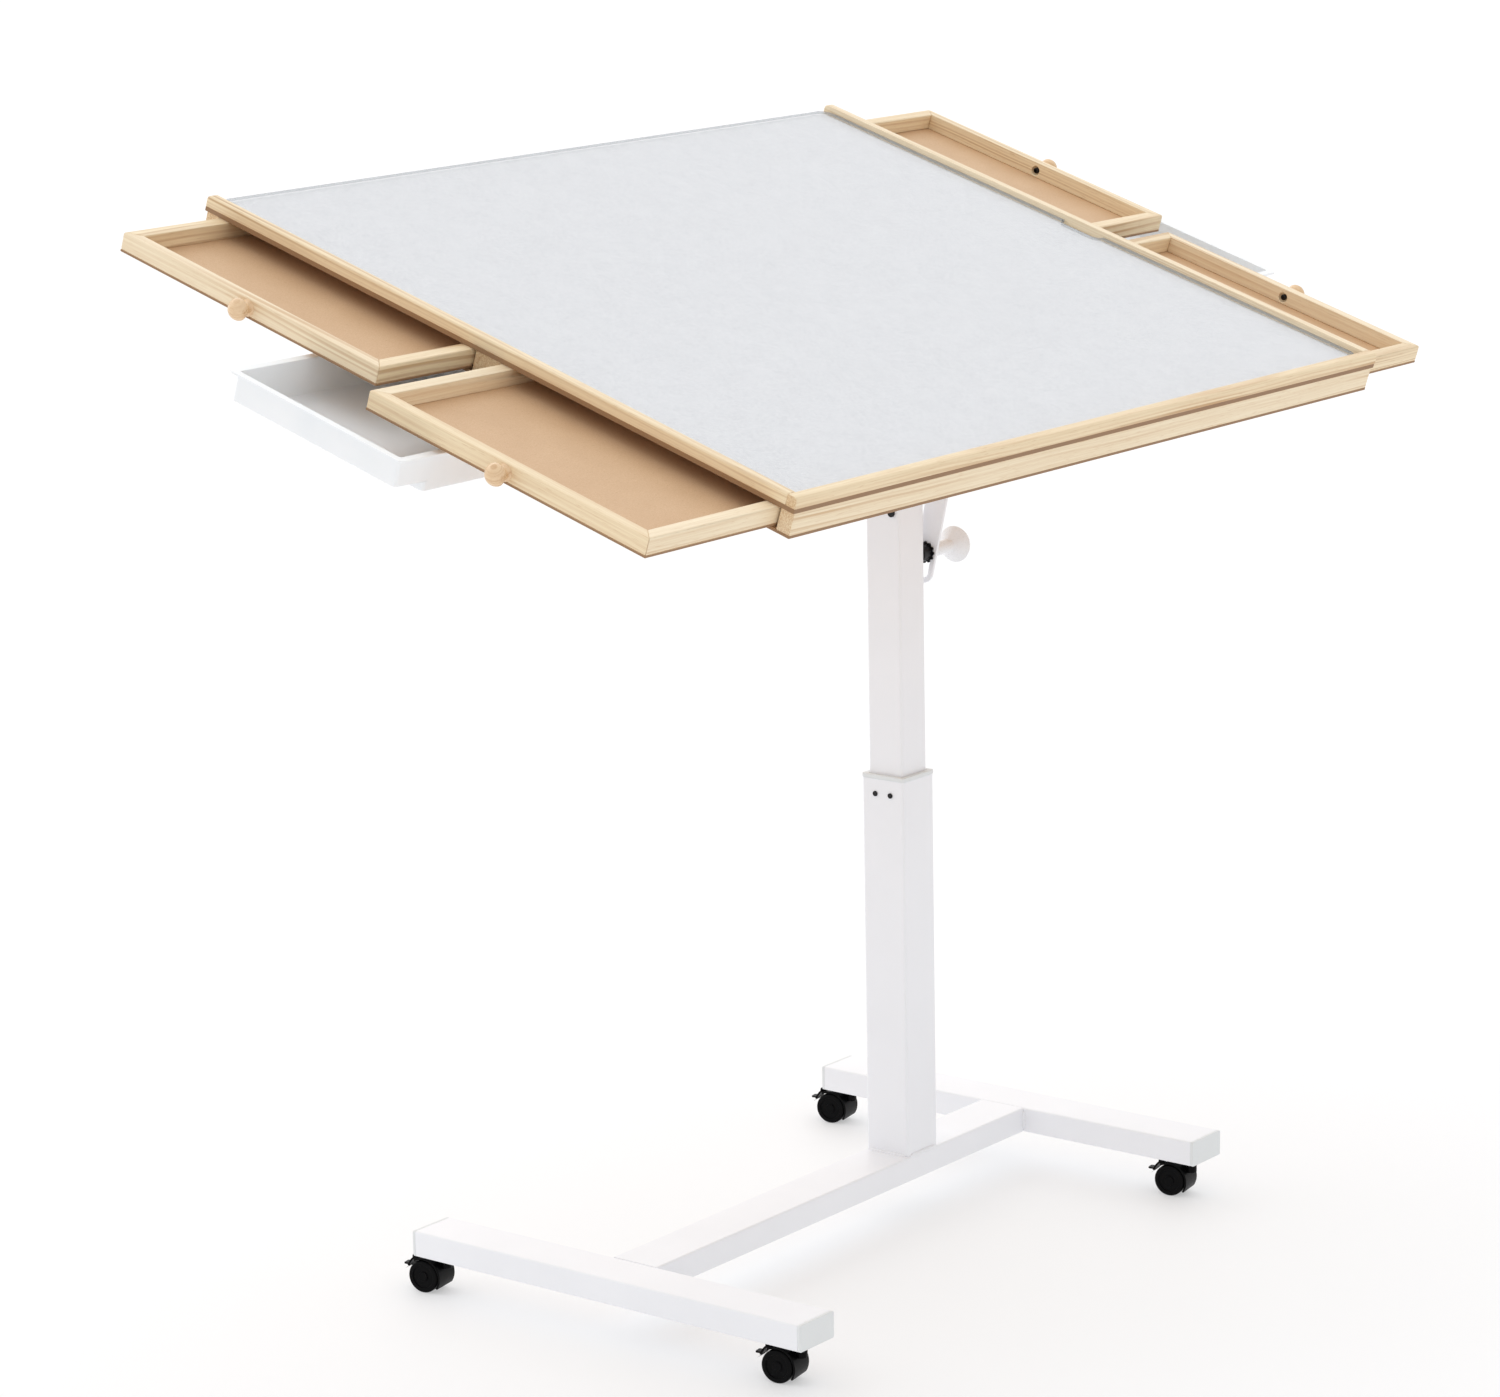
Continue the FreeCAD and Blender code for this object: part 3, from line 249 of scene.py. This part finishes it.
hardboard_tones = ((222, 188, 150), (208, 171, 133))
hardboard_cloud_tone = (196, 158, 119)
hardboard_fibre_tone = (185, 146, 107)
# Painted shade: the tone for the hardboard's sawn edges stands in for the shadow under the rim's overhang
hardboard_edge_shade_tone = (137, 102, 70)
hardboard_fibre_stretch = (240.0, 900.0, 600.0)
turning_stretch = (300.0, 2600.0, 2600.0)
felt_tones = ((238, 238, 240), (206, 207, 211))
felt_cloud_tone = (240, 240, 242)
felt_nap_tone = (190, 191, 196)
tray_tones = ((246, 248, 250), (240, 243, 246))
tray_glow_depths = (4.0 * MM, 4.2 * MM, 4.4 * MM)
floor_tones = ((193, 193, 194), (191, 191, 192))
clear_tone = (244, 247, 250)
clear_alpha = 0.14
clear_edge_tone = (150, 158, 164)
clear_edge_alpha = 0.6
cover_face_share = 0.5

# Powder coats and plastics: two tones, roughness, scale and depth of the skin, reflection
coats = {
    "white_steel": ((244, 245, 249), (241, 242, 246), 0.34, 900.0, 0.04 * MM, 0.5),
    "white_plastic": ((230, 233, 234), (226, 229, 230), 0.44, 700.0, 0.05 * MM, 0.5),
    "white_knob": ((243, 243, 244), (238, 238, 240), 0.24, 500.0, 0.02 * MM, 0.5),
    "black_nylon": ((7, 7, 8), (5, 5, 6), 0.3, 800.0, 0.05 * MM, 0.08),
    "lever_black": ((32, 32, 34), (25, 25, 27), 0.42, 800.0, 0.05 * MM, 0.5),
}

# Plated and blackened steel: two tones and roughness
platings = {
    "black_steel": ((58, 57, 58), (40, 39, 40), 0.3),
    "zinc_steel": ((168, 168, 172), (140, 140, 145), 0.28),
}


def wood(name, turn, heart, spacing, tones, gloss):
    """Sawn softwood: uneven year bands about a heart line beside the piece, fibres, pores and end grain."""
    graph = Graph(name)
    pale, dark = (linear(*tone) for tone in tones)
    shifted = graph.vector("ADD", graph.board_place(turn), heart)
    sway = graph.stretched(shifted, sway_stretch, 2.0, 0.5, "Color")
    sway = graph.vector("MULTIPLY", graph.vector("SUBTRACT", sway, (0.5, 0.5, 0.5)), (pine_warp,) * 3)
    across = graph.vector("MULTIPLY", graph.vector("ADD", shifted, sway), across_grain)
    bands = graph.bands(graph.math("DIVIDE", graph.vector("LENGTH", across), spacing), 1.5)
    streaks = graph.range(bands, 0.46, 0.68, 0.0, 1.0)
    patches = graph.range(graph.stretched(shifted, patch_stretch, 2.0), 0.4, 0.64, 0.18, 0.9)
    fibres = graph.stretched(shifted, fibre_stretch, 3.0, 0.6)
    pores = graph.stretched(shifted, pore_stretch, 1.0)
    colour = graph.mix(graph.math("MULTIPLY", streaks, patches), pale, dark)
    colour = graph.mix(graph.range(fibres, 0.4, 0.75, 0.0, 0.32), colour, dark)
    colour = graph.mix(graph.range(pores, 0.64, 0.76, 0.0, 0.45), colour, dark)
    facing = graph.node("ShaderNodeTexCoord", {}).outputs["Normal"]
    grain = SLOPE if turn else Vector((1, 0, 0))
    ends = graph.math("ABSOLUTE", graph.vector("DOT_PRODUCT", facing, grain))
    speckle = graph.stretched(shifted, end_grain_stretch, 2.0, 0.7)
    end_grain = graph.mix(graph.range(speckle, 0.38, 0.62, 0.25, 1.0), pale, dark)
    colour = graph.mix(graph.range(ends, 0.8, 0.95, 0.0, 0.75), colour, end_grain)
    height = graph.math("ADD", graph.math("MULTIPLY", fibres, 0.7), graph.math("MULTIPLY", streaks, 0.3))
    return graph.finish(Base_Color=colour, Roughness=graph.range(fibres, 0.3, 0.7, gloss, gloss + 0.14),
                        Normal=graph.bump(height, 0.05 * MM, 0.8))


def pine_materials():
    """Boards with the grain along the row's X or up the slope, each from three places in the log."""
    found = {}
    for grain, turn in (("x", 0.0), ("y", QUARTER_TURN)):
        for index, (heart, tones) in enumerate(zip(pine_hearts, pine_tones)):
            name = "pine_" + grain + "_" + str(index + 1)
            found[grain, index] = wood(name, turn, heart, pine_band_spacing, tones, pine_gloss)
    return found


def knob_wood():
    return wood("knob_wood", QUARTER_TURN, knob_heart, knob_band_spacing, knob_tones, knob_gloss)


def hardboard():
    """Smooth brown hardboard, with painted shade on its sawn edges."""
    graph = Graph("hardboard")
    place = graph.place()
    fine = graph.noise(place, 900.0, 4.0, 0.7)
    cloud = graph.noise(place, 22.0, 3.0)
    fibres = graph.stretched(place, hardboard_fibre_stretch, 2.0)
    pale, brown = (linear(*tone) for tone in hardboard_tones)
    colour = graph.mix(graph.range(fine, 0.3, 0.7, 0.0, 1.0), pale, brown)
    colour = graph.mix(graph.range(cloud, 0.35, 0.7, 0.0, 0.3), colour, linear(*hardboard_cloud_tone))
    colour = graph.mix(graph.range(fibres, 0.62, 0.75, 0.0, 0.4), colour, linear(*hardboard_fibre_tone))
    # Painted shade: faces square to the board, the sawn edges, are darkened towards the edge tone
    facing = graph.node("ShaderNodeTexCoord", {}).outputs["Normal"]
    level = graph.math("ABSOLUTE", graph.vector("DOT_PRODUCT", facing, NORMAL))
    colour = graph.mix(graph.range(level, 0.35, 0.65, 0.85, 0.0), colour, linear(*hardboard_edge_shade_tone))
    return graph.finish(Base_Color=colour, Roughness=graph.range(fine, 0.3, 0.7, 0.5, 0.66),
                        Normal=graph.bump(fine, 0.04 * MM, 0.7))


def coated(name, colour, shade, roughness, grain_scale, grain_depth, reflection):
    """Powder coat or moulded plastic: an even colour with a fine skin and faint clouds."""
    graph = Graph(name)
    place = graph.place()
    skin = graph.noise(place, grain_scale, 2.0, 0.6)
    cloud = graph.noise(place, 14.0, 3.0)
    tint = graph.mix(graph.range(cloud, 0.3, 0.75, 0.0, 1.0), linear(*colour), linear(*shade))
    return graph.finish(Base_Color=tint, Roughness=graph.range(skin, 0.3, 0.7, roughness, roughness + 0.12),
                        Specular_IOR_Level=reflection, Normal=graph.bump(skin, grain_depth, 0.6))


def plated(name, colour, shade, roughness):
    """Plated or blackened steel with fine turning marks."""
    graph = Graph(name)
    place = graph.place()
    marks = graph.stretched(place, turning_stretch, 3.0)
    stain = graph.noise(place, 120.0, 3.0)
    tint = graph.mix(graph.range(stain, 0.35, 0.7, 0.0, 1.0), linear(*colour), linear(*shade))
    return graph.finish(Base_Color=tint, Metallic=1.0,
                        Roughness=graph.range(marks, 0.3, 0.7, roughness, roughness + 0.18),
                        Normal=graph.bump(marks, 0.01 * MM, 0.5))


def felt():
    """Short pressed nap, mottled in cool greys, with a soft sheen."""
    graph = Graph("felt")
    place = graph.board_place()
    nap = graph.noise(place, 1500.0, 5.0, 0.75)
    tufts = graph.noise(place, 300.0, 5.0, 0.75)
    cloud = graph.noise(place, 60.0, 5.0, 0.7)
    pale, grey = (linear(*tone) for tone in felt_tones)
    colour = graph.mix(graph.range(tufts, 0.3, 0.7, 0.0, 1.0), pale, grey)
    colour = graph.mix(graph.range(cloud, 0.4, 0.68, 0.0, 0.35), colour, linear(*felt_cloud_tone))
    colour = graph.mix(graph.range(nap, 0.55, 0.8, 0.0, 0.5), colour, linear(*felt_nap_tone))
    height = graph.math("ADD", nap, graph.math("MULTIPLY", tufts, 1.6))
    return graph.finish(Base_Color=colour, Roughness=0.95, Sheen_Weight=0.25, Sheen_Roughness=0.6,
                        Normal=graph.bump(height, 0.35 * MM, 0.7))


def clear_sheet(name, colour, alpha):
    """Clear acrylic that lets most light through; its cut edges are greyer."""
    graph = Graph(name)
    smear = graph.noise(graph.board_place(), 7.0, 3.0)
    return graph.finish(Base_Color=linear(*colour), Alpha=alpha, IOR=1.49, Specular_IOR_Level=0.7,
                        Roughness=graph.range(smear, 0.35, 0.7, 0.04, 0.1))


def tray_plastic():
    """Frosted white plastic that lets a little light into its walls."""
    graph = Graph("tray_plastic")
    place = graph.place()
    frost = graph.noise(place, 1300.0, 2.0, 0.6)
    cloud = graph.noise(place, 18.0, 3.0)
    tint = graph.mix(graph.range(cloud, 0.3, 0.75, 0.0, 1.0), *(linear(*tone) for tone in tray_tones))
    return graph.finish(Base_Color=tint, Roughness=graph.range(frost, 0.3, 0.7, 0.38, 0.5),
                        Subsurface_Weight=0.3, Subsurface_Radius=tray_glow_depths,
                        Subsurface_Scale=1.0, Normal=graph.bump(frost, 0.03 * MM, 0.5))


def pale_floor():
    """Even white studio floor."""
    graph = Graph("pale_floor")
    cloud = graph.noise(graph.place(), 0.4, 2.0)
    tint = graph.mix(graph.range(cloud, 0.3, 0.7, 0.0, 1.0), *(linear(*tone) for tone in floor_tones))
    return graph.finish(Base_Color=tint, Roughness=0.7, Emission_Color=(1.0, 1.0, 1.0, 1.0),
                        Emission_Strength=floor_glow)


PINE = pine_materials()
FELT = felt()
CLEAR_EDGE = clear_sheet("clear_sheet_edge", clear_edge_tone, clear_edge_alpha)
SLOT_MATERIAL = {
    "knob_wood": knob_wood(),
    "hardboard": hardboard(),
    **{name: coated(name, *values) for name, values in coats.items()},
    **{name: plated(name, *values) for name, values in platings.items()},
    "clear_sheet": clear_sheet("clear_sheet", clear_tone, clear_alpha),
    "tray_plastic": tray_plastic(),
}


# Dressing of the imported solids

def islands(mesh):
    """Groups of polygon indices that hang together, found by shared places."""
    keys = {}
    parents = []

    def root(index):
        while parents[index] != index:
            parents[index] = parents[parents[index]]
            index = parents[index]
        return index

    spots = []
    for vertex in mesh.vertices:
        key = tuple(round(value / weld_distance) for value in vertex.co)
        if key not in keys:
            keys[key] = len(parents)
            parents.append(len(parents))
        spots.append(keys[key])
    for polygon in mesh.polygons:
        first = root(spots[polygon.vertices[0]])
        for index in polygon.vertices[1:]:
            parents[root(spots[index])] = first
    groups = {}
    for polygon in mesh.polygons:
        groups.setdefault(root(spots[polygon.vertices[0]]), []).append(polygon.index)
    return list(groups.values())


def board_size(mesh, polygons):
    """Extents in the board frame of some polygons of a mesh."""
    points = [TO_BOARD @ mesh.vertices[index].co for polygon in polygons
              for index in mesh.polygons[polygon].vertices]
    return [max(point[axis] for point in points) - min(point[axis] for point in points) for axis in range(3)]


def paint_pine(mesh, first_heart):
    """Each board of the node gets grain along its longer side."""
    for count, polygons in enumerate(islands(mesh)):
        size = board_size(mesh, polygons)
        grain = "x" if size[0] > size[1] else "y"
        mesh.materials.append(PINE[grain, (first_heart + count) % len(pine_hearts)])
        for polygon in polygons:
            mesh.polygons[polygon].material_index = count


def paint_cover(mesh):
    """The sheet's faces stay clear, and its cut edge shows."""
    mesh.materials.append(SLOT_MATERIAL["clear_sheet"])
    mesh.materials.append(CLEAR_EDGE)
    for polygon in mesh.polygons:
        polygon.material_index = 0 if abs(polygon.normal.dot(NORMAL)) > cover_face_share else 1


def soften(piece, width):
    """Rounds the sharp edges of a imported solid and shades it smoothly."""
    weld = piece.modifiers.new("weld", "WELD")
    weld.merge_threshold = weld_distance
    flat = piece.modifiers.new("flat", "DECIMATE")
    flat.decimate_type = "DISSOLVE"
    flat.angle_limit = math.radians(flat_angle)
    flat.delimit = {"MATERIAL"}
    bevel = piece.modifiers.new("bevel", "BEVEL")
    bevel.width = width
    bevel.segments = bevel_segments
    bevel.limit_method = "ANGLE"
    bevel.angle_limit = math.radians(bevel_angle)
    bevel.use_clamp_overlap = False
    piece.modifiers.new("normals", "WEIGHTED_NORMAL")


def dress_nodes():
    for count, (name, piece) in enumerate(sorted(frame["nodes"].items())):
        slot = NODE_SLOT[name]
        if slot == "felt":
            continue
        mesh = piece.data
        mesh.materials.clear()
        if slot == "pine":
            paint_pine(mesh, count)
        elif slot == "clear_sheet":
            paint_cover(mesh)
        else:
            mesh.materials.append(SLOT_MATERIAL[slot])
        if "custom_normal" in mesh.attributes:
            mesh.attributes.remove(mesh.attributes["custom_normal"])
        mesh.polygons.foreach_set("use_smooth", [True] * len(mesh.polygons))
        soften(piece, bevel_widths[slot])


# Pieces built here

def add_piece(name, shape, material, body):
    """A new piece from a finished mesh shape that is already in the row frame."""
    mesh = bpy.data.meshes.new(name)
    shape.normal_update()
    shape.to_mesh(mesh)
    shape.free()
    mesh.materials.append(material)
    piece = bpy.data.objects.new(name, mesh)
    bpy.context.scene.collection.objects.link(piece)
    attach(piece, body)
    return piece


def board_box(node):
    """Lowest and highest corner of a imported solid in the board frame."""
    points = [TO_BOARD @ vertex.co for vertex in frame["nodes"][node].data.vertices]
    low = Vector(min(point[axis] for point in points) for axis in range(3))
    high = Vector(max(point[axis] for point in points) for axis in range(3))
    return low, high


def add_felt():
    """A closed slab of felt whose top waves a little and falls off along its cut edge."""
    low, high = board_box("felt_surface")
    counts = [round((high[axis] - low[axis]) / felt_cell) for axis in range(2)]
    shape = bmesh.new()
    top = []
    for row in range(counts[1] + 1):
        line = []
        for column in range(counts[0] + 1):
            x = low.x + (high.x - low.x) * column / counts[0]
            y = low.y + (high.y - low.y) * row / counts[1]
            drop = felt_wave * (1 + noise.noise(Vector((x, y, 0)) / felt_wave_length)) / 2
            if row in (0, counts[1]) or column in (0, counts[0]):
                drop = felt_edge_drop
            line.append(shape.verts.new(BOARD @ Vector((x, y, high.z - drop))))
        top.append(line)
    for first, second in zip(top, top[1:]):
        for column in range(counts[0]):
            shape.faces.new((first[column], first[column + 1], second[column + 1], second[column]))
    rim = top[0][:-1] + [line[-1] for line in top[:-1]] + top[-1][:0:-1] + [line[0] for line in top[:0:-1]]
    foot = []
    for vertex in rim:
        place = TO_BOARD @ vertex.co
        foot.append(shape.verts.new(BOARD @ Vector((place.x, place.y, low.z))))
    for index in range(len(rim)):
        shape.faces.new((rim[index - 1], foot[index - 1], foot[index], rim[index]))
    shape.faces.new(foot[::-1])
    for face in shape.faces:
        face.smooth = len(face.verts) == 4
    piece = add_piece("felt_sheet", shape, FELT, "board")
    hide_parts("felt_surface")


def spot(shape, radius, height, step, count, place):
    """One of a count of points about the Z axis, moved by a matrix."""
    turn = FULL_TURN * step / count
    return shape.verts.new(place @ Vector((radius * math.cos(turn), radius * math.sin(turn), height)))


def ring(shape, radius, height, count, place):
    """A circle of points about the Z axis, moved by a matrix."""
    return [spot(shape, radius, height, step, count, place) for step in range(count)]


def wall(shape, first, second):
    """Faces between two closed loops of as many points."""
    for index in range(len(first)):
        shape.faces.new((first[index - 1], first[index], second[index], second[index - 1]))


def loop_edges(shape, loop):
    """The edges along a closed loop of points, made where they are missing."""
    edges = []
    for index in range(len(loop)):
        ends = (loop[index - 1], loop[index])
        found = shape.edges.get(ends)
        edges.append(shape.edges.new(ends) if found is None else found)
    return edges


def cross_screw(shape, place):
    """Pan head with a cross recess, its foot on the local XY plane."""
    loops = [ring(shape, screw_head_radius * reach, screw_head_height * rise, screw_sides, place)
             for reach, rise in screw_profile_shares]
    shape.faces.new(loops[0][::-1])
    for first, second in zip(loops, loops[1:]):
        wall(shape, first, second)
    reach = screw_head_radius * screw_cross_reach_share
    width = screw_head_radius * screw_cross_width_share
    corners = [Vector((reach, -width, 0)), Vector((reach, width, 0)), Vector((width, width, 0))]
    arms = []
    for step in range(screw_cross_arms):
        turn = Matrix.Rotation(QUARTER_TURN * step, 4, "Z")
        arms += [turn @ corner for corner in corners]
    lift = Vector((0, 0, screw_head_height))
    sink = Vector((0, 0, screw_head_height * (1 - screw_cross_depth_share)))
    upper = [shape.verts.new(place @ (corner + lift)) for corner in arms]
    lower = [shape.verts.new(place @ (corner + sink)) for corner in arms]
    bmesh.ops.bridge_loops(shape, edges=loop_edges(shape, loops[-1]) + loop_edges(shape, upper))
    wall(shape, upper, lower)
    shape.faces.new(lower)


def add_knob_screws():
    """The screw that holds each knob, in the recess inside the drawer's front."""
    for name in sorted(frame["nodes"]):
        if not name.endswith("_knob") or not name.startswith("drawer_"):
            continue
        side = -1 if "_left_" in name else 1
        low, high = board_box(name)
        front_low, front_high = board_box(name.replace("_knob", "_front"))
        inner = front_low.x if side > 0 else front_high.x
        seat = inner + side * screw_head_height * screw_seat_share
        middle = Vector((seat, (low.y + high.y) / 2, (low.z + high.z) / 2))
        place = BOARD @ Matrix.Translation(middle) @ Matrix.Rotation(-side * QUARTER_TURN, 4, "Y")
        shape = bmesh.new()
        cross_screw(shape, place)
        bmesh.ops.recalc_face_normals(shape, faces=shape.faces)
        add_piece(name + "_screw", shape, SLOT_MATERIAL["black_steel"], name[:-len("_knob")])


def add_stud_washer():
    """Toothed lock washer on the clamp stud's spacer, beside the tilt stay."""
    stay_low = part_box("tilt_stay")[0]
    stud = Vector(JOINTS["clamp_turn"]["pos_m"])
    shape = bmesh.new()
    place = Matrix.Translation((stay_low.x - washer_gap - washer_thickness, stud.y, stud.z))
    place = place @ Matrix.Rotation(QUARTER_TURN, 4, "Y")
    count = washer_tooth_points * washer_teeth
    loops = []
    for height in (0, washer_thickness):
        outer = []
        inner = []
        for step in range(count):
            tip = step % washer_tooth_points < washer_tip_points
            radius = washer_radius if tip else washer_root_radius
            outer.append(spot(shape, radius, height, step, count, place))
            inner.append(spot(shape, washer_hole_radius, height, step, count, place))
        loops.append((outer, inner))
    (outer_low, inner_low), (outer_high, inner_high) = loops
    wall(shape, outer_low, outer_high)
    wall(shape, inner_high, inner_low)
    wall(shape, outer_high, inner_high)
    wall(shape, inner_low, outer_low)
    bmesh.ops.recalc_face_normals(shape, faces=shape.faces)
    add_piece("stud_lock_washer", shape, SLOT_MATERIAL["black_steel"], "column")


def weld_bead(shape, start, end, ripple_start):
    """A rippled bead along a straight seam, closed at both ends."""
    run = end - start
    steps = max(2, round(run.length / weld_ripple_length * weld_ripple_steps))
    frame_turn = run.to_track_quat("Z", "Y").to_matrix().to_4x4()
    loops = []
    for step in range(steps + 1):
        share = step / steps
        swell = math.sin(FULL_TURN * share * run.length / weld_ripple_length + ripple_start)
        radius = weld_radius + weld_ripple * swell
        radius *= min(1.0, weld_end_share + weld_end_rise * min(share, 1 - share))
        place = Matrix.Translation(start + run * share) @ frame_turn
        loops.append(ring(shape, radius, 0, weld_sides, place))
    for first, second in zip(loops, loops[1:]):
        wall(shape, first, second)
    shape.faces.new(loops[0][::-1])
    shape.faces.new(loops[-1])


def add_weld_beads():
    """Painted welds where the spine meets the feet and where the column's plate meets its tube."""
    shape = bmesh.new()
    spine_low, spine_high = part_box("spine_beam")
    for x in (spine_low.x, spine_high.x):
        for y in (spine_low.y, spine_high.y):
            weld_bead(shape, Vector((x, y, spine_low.z + weld_margin)),
                      Vector((x, y, spine_high.z - weld_margin)), y)
    column_low, column_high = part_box("lower_column")
    corners = [Vector((x, y, column_low.z)) for x, y in (
        (column_low.x, column_low.y), (column_high.x, column_low.y),
        (column_high.x, column_high.y), (column_low.x, column_high.y))]
    for index, corner in enumerate(corners):
        before = corners[index - 1]
        inset = (corner - before).normalized() * weld_margin
        weld_bead(shape, before + inset, corner - inset, index)
    bmesh.ops.recalc_face_normals(shape, faces=shape.faces)
    for face in shape.faces:
        face.smooth = len(face.verts) == 4
    add_piece("base_welds", shape, SLOT_MATERIAL["white_steel"], "stand")


# Studio

def add_floor():
    shape = bmesh.new()
    corners = ((-1, -1), (1, -1), (1, 1), (-1, 1))
    shape.faces.new([shape.verts.new((x * floor_half, y * floor_half, 0)) for x, y in corners])
    mesh = bpy.data.meshes.new("floor")
    shape.to_mesh(mesh)
    shape.free()
    mesh.materials.append(pale_floor())
    floor = bpy.data.objects.new("floor", mesh)
    bpy.context.scene.collection.objects.link(floor)


def add_light():
    """An even white room and one broad soft light from behind the left side."""
    world = bpy.data.worlds.new("studio")
    bpy.context.scene.world = world
    world.use_nodes = True
    background = world.node_tree.nodes["Background"]
    background.inputs["Color"].default_value = (1.0, 1.0, 1.0, 1.0)
    background.inputs["Strength"].default_value = sky_strength
    lamp = bpy.data.lights.new("key", "SUN")
    lamp.energy = sun_strength
    lamp.angle = math.radians(sun_softness)
    key = bpy.data.objects.new("key", lamp)
    heading = math.radians(sun_heading)
    rise = math.radians(sun_elevation)
    level = math.cos(rise)
    towards = Vector((math.sin(heading) * level, -math.cos(heading) * level, math.sin(rise)))
    key.rotation_euler = towards.to_track_quat("Z", "Y").to_euler()
    bpy.context.scene.collection.objects.link(key)
    bpy.context.scene.view_settings.view_transform = "Standard"


def add_camera():
    yaw = math.radians(camera_yaw)
    pitch = math.radians(camera_pitch)
    ahead = Vector((math.sin(yaw) * math.cos(pitch), math.cos(yaw) * math.cos(pitch), -math.sin(pitch)))
    level = Vector((math.cos(yaw), -math.sin(yaw), 0))
    turn = Matrix((level, level.cross(ahead), -ahead)).transposed()
    turn = turn @ Matrix.Rotation(math.radians(camera_roll), 3, "Z")
    lens = bpy.data.cameras.new("camera")
    lens.lens = camera_lens
    lens.sensor_width = camera_sensor
    camera = bpy.data.objects.new("camera", lens)
    camera.matrix_world = Matrix.Translation(camera_place) @ turn.to_4x4()
    bpy.context.scene.collection.objects.link(camera)
    bpy.context.scene.camera = camera


dress_nodes()
add_felt()
add_knob_screws()
add_stud_washer()
add_weld_beads()
add_floor()
add_light()
add_camera()
